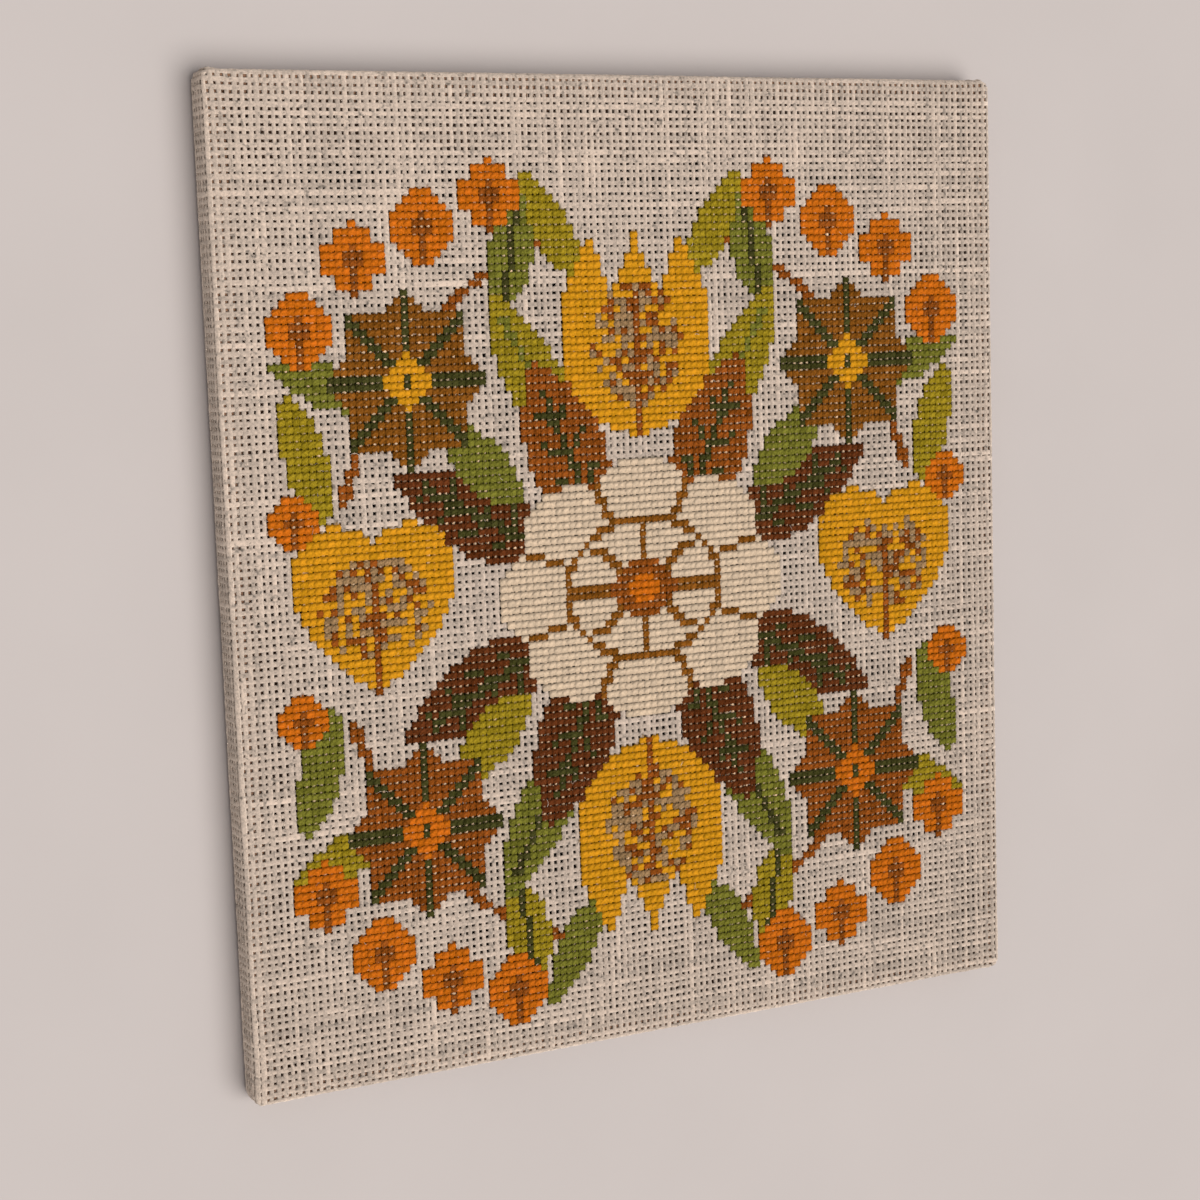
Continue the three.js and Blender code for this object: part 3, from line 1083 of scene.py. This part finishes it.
# %% The tree of the crosses
def cross_tree():
    sizes = {
        "Cell width": 1.0,
        "Cell height": 1.0,
        "Reach across": 0.5,
        "Reach up": 0.4,
        "Half width": 1.0 * MM,
        "Half height": 0.27 * MM,
        "Top share": 0.64,
        "Shoulder reach": 0.8,
        "Shoulder girth": 0.87,
        "Shoulder lift": 0.9,
        "Lower rise": 0.65 * MM,
        "Upper rise": 0.72 * MM,
        "Tip depth": 0.4 * MM,
        "Tip shade": 0.9,
        "Back share": 0.62,
        "Back depth": 0.8 * MM,
        "Seed": 7,
    }
    tree, given = tree_with_inputs("crosses", sizes)
    half, up = given["Half width"], given["Half height"]
    top, down = math_node(tree, "MULTIPLY", half, given["Top share"]), opposite(tree, up)
    corners = [(opposite(tree, half), down), (opposite(tree, top), up), (top, up), (half, down)]
    section = with_across(tree, profile(tree, corners), "X", half)
    joined = add(tree, "GeometryNodeJoinGeometry")
    tree.links.new(leg(tree, given, section, given["Upper rise"], 1.0), joined.inputs[0])
    tree.links.new(leg(tree, given, section, given["Lower rise"], -1.0), joined.inputs[0])
    tree.links.new(back_bar(tree, given, half, up), joined.inputs[0])
    merged = add(tree, "GeometryNodeMergeByDistance", {"Geometry": joined.outputs[0], "Distance": 0.01 * MM})
    smooth = add(tree, "GeometryNodeSetShadeSmooth", {"Geometry": merged.outputs[0]}).outputs[0]
    turns = (-0.05, -0.05, -0.09), (0.05, 0.05, 0.09)
    scales = (0.96, 0.91, 0.88), (1.06, 1.14, 1.10)
    strew(tree, given, smooth, turns, scales)
    return tree


crosses = cross_tree()
print("the tree of the crosses has", len(crosses.nodes), "nodes")

# %% [markdown]
# ### Thin and full yarns
#
# The dark yarns are thin: their crosses stay apart, and canvas shows between them. The cream, mustard and
# orange ones are full. They lie flatter and reach further along the row, until the row reads as one band
# with short dark dashes beside it. `fullness` is 0 for the thinnest yarn and about 1 for a full one, and
# the rest of a cross follows from it.

# %% What each yarn's crosses look like
HALF_WIDTHS = {
    # half the width of each yarn where it lies broadest, in mm
    "orange": 1.28,
    "mustard": 1.34,
    "rust": 0.95,
    "tan": 0.95,
    "brown": 0.92,
    "green": 1.02,
    "lime": 1.10,
    "olive": 0.93,
    "taupe": 1.04,
    "cream": 1.44,
}


def yarn_settings(yarn, seed):
    fullness = (HALF_WIDTHS[yarn] - 0.92) / 0.42
    finish = fibre_material(
        "yarn_" + yarn,
        YARNS[yarn],
        spread=0.42 - 0.24 * fullness,
        soft=0.85,
        painted_sheen=0.01,
        fuzzy=0.5,
        Fibre_contrast=1.7,
        Lumps=1300.0,
    )
    return {
        "Cell width": pitch[0],
        "Cell height": pitch[1],
        "Half width": HALF_WIDTHS[yarn] * MM,
        "Half height": (0.27 - 0.08 * fullness) * MM,
        "Top share": 0.64 + 0.18 * fullness,
        "Reach across": 0.50 + 0.08 * fullness,
        "Reach up": 0.31 - 0.08 * fullness,
        "Shoulder reach": 0.80 + 0.13 * fullness,
        "Shoulder lift": 0.92 + 0.08 * fullness,
        "Shoulder girth": 0.88 - 0.22 * fullness,
        "Tip depth": (0.4 - 0.4 * fullness) * MM,
        "Tip shade": 0.9 - 0.6 * fullness,
        "Seed": seed,
        "Material": finish,
    }


# %% Stitch the chart, one piece for each yarn
stitched = []
for index, yarn in enumerate(YARN_NAMES):
    rows, columns = np.nonzero(chart == index)
    places = np.column_stack([columns - (COLUMNS - 1) / 2, rows - (ROWS - 1) / 2]) * pitch
    places = places + chance.normal(0, 0.06 * MM, places.shape)
    places = np.column_stack([places, np.full(len(places), front_z)])
    piece = object_from("stitches_" + yarn, places, attributes={"tone": chance.normal(size=len(places))})
    stitched.append(finished_mesh(piece, crosses, yarn_settings(yarn, index)))

# %% [markdown]
# ## The wood of the bars
#
# The bars are planed softwood, of a red-brown that is made darker than bare wood, as painted shade for the dim
# space under the canvas. They only show as dark dots through the outermost holes of the canvas, and from
# behind.
# A picture of wood could be laid on them, but noise has no seams, and its grain follows each bar. A board cut
# along the trunk shows the growth rings as long, wavering stripes, so the group stretches noise along the
# grain and cuts it into rings. Fine noise adds the short fibres. The grain of the upright bars runs along Y,
# so X and
# Y are swapped for them.

# %% The shader group for softwood
def softwood():
    """X of `Place` runs along the grain"""
    inputs = {"Place": (0.0, 0.0, 0.0), "Early wood": (0.3, 0.2, 0.1, 1), "Late wood": (0.2, 0.1, 0.05, 1)}
    tree, given, result = group_with_sockets("softwood", inputs, {"Color": "Color", "Height": "Float"})
    drawn = {0: given["Place"], 1: (1.5, 60.0, 60.0)}
    drawn = add(tree, "ShaderNodeVectorMath", drawn, operation="MULTIPLY").outputs[0]
    rings = math_node(tree, "FRACT", math_node(tree, "MULTIPLY", noise(tree, drawn, 1.0), 14.0))
    thin = {0: given["Place"], 1: (60.0, 2500.0, 2500.0)}
    thin = add(tree, "ShaderNodeVectorMath", thin, operation="MULTIPLY").outputs[0]
    fibre = noise(tree, thin, 1.0, 3.0)
    late = math_node(tree, "POWER", rings, 2.5)
    grain = math_node(tree, "MULTIPLY_ADD", math_node(tree, "SUBTRACT", fibre, 0.5), 0.8, late)
    tree.links.new(blend(tree, grain, given["Early wood"], given["Late wood"]), result["Color"])
    tree.links.new(fibre, result["Height"])
    return tree


grain_group = softwood()
print("the group of the softwood has", len(grain_group.nodes), "nodes")


# %% Give the bars their wood
def bar_wood(name, turned):
    material, tree, shader = new_material(name, 0.65, 0.3)
    where = object_place(tree)
    if turned:
        split = add(tree, "ShaderNodeSeparateXYZ", {0: where}).outputs
        swapped = {"X": split["Y"], "Y": split["X"], "Z": split["Z"]}
        where = add(tree, "ShaderNodeCombineXYZ", swapped).outputs[0]
    group = add(tree, "ShaderNodeGroup", {"Place": where}, node_tree=grain_group)
    # painted shade: both grain colours are darker than bare softwood
    group.inputs["Early wood"].default_value = (0.24, 0.125, 0.07, 1)
    group.inputs["Late wood"].default_value = (0.14, 0.06, 0.03, 1)
    bump = add(tree, "ShaderNodeBump", {"Height": group.outputs["Height"], "Strength": 0.3})
    bump.inputs["Distance"].default_value = 0.2 * MM
    tree.links.new(group.outputs["Color"], shader.inputs["Base Color"])
    tree.links.new(bump.outputs[0], shader.inputs["Normal"])
    return material


across_wood = bar_wood("frame_wood_across", False)
upright_wood = bar_wood("frame_wood_upright", True)
BAR_WOODS = {
    "bar_top": across_wood,
    "bar_bottom": across_wood,
    "bar_left": upright_wood,
    "bar_right": upright_wood,
}
for name, wood in BAR_WOODS.items():
    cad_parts[name].data.materials.clear()
    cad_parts[name].data.materials.append(wood)
    print(name, "is", wood.name)

# %% [markdown]
# ## Floor
#
# The floor is plain, pale and matt, with the faintest clouding and grain, and it takes the picture's shadow.
# It reaches so far that its end is never in view.
#
# A picture like this hangs or leans, with dim space behind it, and its holes look dark. Lying on a pale
# floor, every hole would shine. So the floor is painted near-black inside the frame, as painted shade for
# that dim space, where only the holes can show it.

# %% Lay the floor
FLOOR_COLOUR = (0.51, 0.465, 0.455)


def floor_material():
    material, tree, shader = new_material("floor", 0.7, 0.2)
    where = object_place(tree)
    split = add(tree, "ShaderNodeSeparateXYZ", {0: where}).outputs
    inside = []
    for axis, half in zip("XY", half_size):
        reach = math_node(tree, "ABSOLUTE", split[axis])
        inside.append(math_node(tree, "LESS_THAN", reach, half - TURN_OVER))
    painted_shade_inside = math_node(tree, "MULTIPLY", *inside)
    darker = (*[0.96 * c for c in FLOOR_COLOUR], 1)
    lighter = (*[1.04 * c for c in FLOOR_COLOUR], 1)
    clouded = blend(tree, noise(tree, where, 9.0, 5.0), darker, lighter)
    # painted shade: near-black floor inside the frame, where only the holes show it
    colour = blend(tree, painted_shade_inside, clouded, (0.03, 0.022, 0.016, 1))
    bump = add(tree, "ShaderNodeBump", {"Height": noise(tree, where, 500.0), "Strength": 0.05})
    bump.inputs["Distance"].default_value = 0.2 * MM
    tree.links.new(colour, shader.inputs["Base Color"])
    tree.links.new(bump.outputs[0], shader.inputs["Normal"])
    return material


bpy.ops.mesh.primitive_plane_add(size=200, location=(0, 0, 0))
floor = bpy.context.object
floor.name = "floor"
floor.data.materials.append(floor_material())
print("floor, m:", [round(side) for side in floor.dimensions])

# %% [markdown]
# ## Light
#
# A broad, soft sun from the lower right stands for a window. Its wide angle gives the shadows their soft
# edges, and as a sun it lights every spot alike. The world adds even light from all round. Light Path lets
# the camera see a background of the floor's own colour instead, so that the two run into each other, while
# the light that falls on the picture stays as it is.

# %% Light the room
world = bpy.data.worlds.new("studio")
bpy.context.scene.world = world
world.use_nodes = True
ambient = world.node_tree.nodes["Background"]
ambient.inputs["Color"].default_value = (1.0, 0.98, 0.96, 1)
ambient.inputs["Strength"].default_value = 0.42
seen = add(world.node_tree, "ShaderNodeBackground", {"Color": (0.62, 0.555, 0.52, 1), "Strength": 1.0})
is_view = add(world.node_tree, "ShaderNodeLightPath").outputs["Is Camera Ray"]
both = add(world.node_tree, "ShaderNodeMixShader", {0: is_view, 1: ambient.outputs[0], 2: seen.outputs[0]})
world.node_tree.links.new(both.outputs[0], world.node_tree.nodes["World Output"].inputs["Surface"])

daylight = bpy.data.lights.new("key", "SUN")
daylight.energy = 2.7
daylight.angle = math.radians(55)
daylight.color = (1, 0.97, 0.93)
key = bpy.data.objects.new("key", daylight)
bpy.context.scene.collection.objects.link(key)
key.location = (0.9, -1.0, 3.2)
key.rotation_euler = (-key.location).to_track_quat("-Z", "Y").to_euler()
bpy.context.scene.view_settings.view_transform = "Standard"
print("sun from", [round(c, 2) for c in key.location])

# %% [markdown]
# ## Attach the pieces
#
# Each piece is attached to the body it rides on, the root. The weft takes the place of the imported canvas
# sheet, which is hidden, together with the warp, the wisps and the stitches, which move with it.

# %% Attach every piece
for piece in (canvas_weft, canvas_warp, canvas_fuzz):
    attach(piece, "root")
for piece, yarn in zip(stitched, YARN_NAMES):
    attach(piece, "root")
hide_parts("canvas")
print("pieces:", 3 + len(stitched))
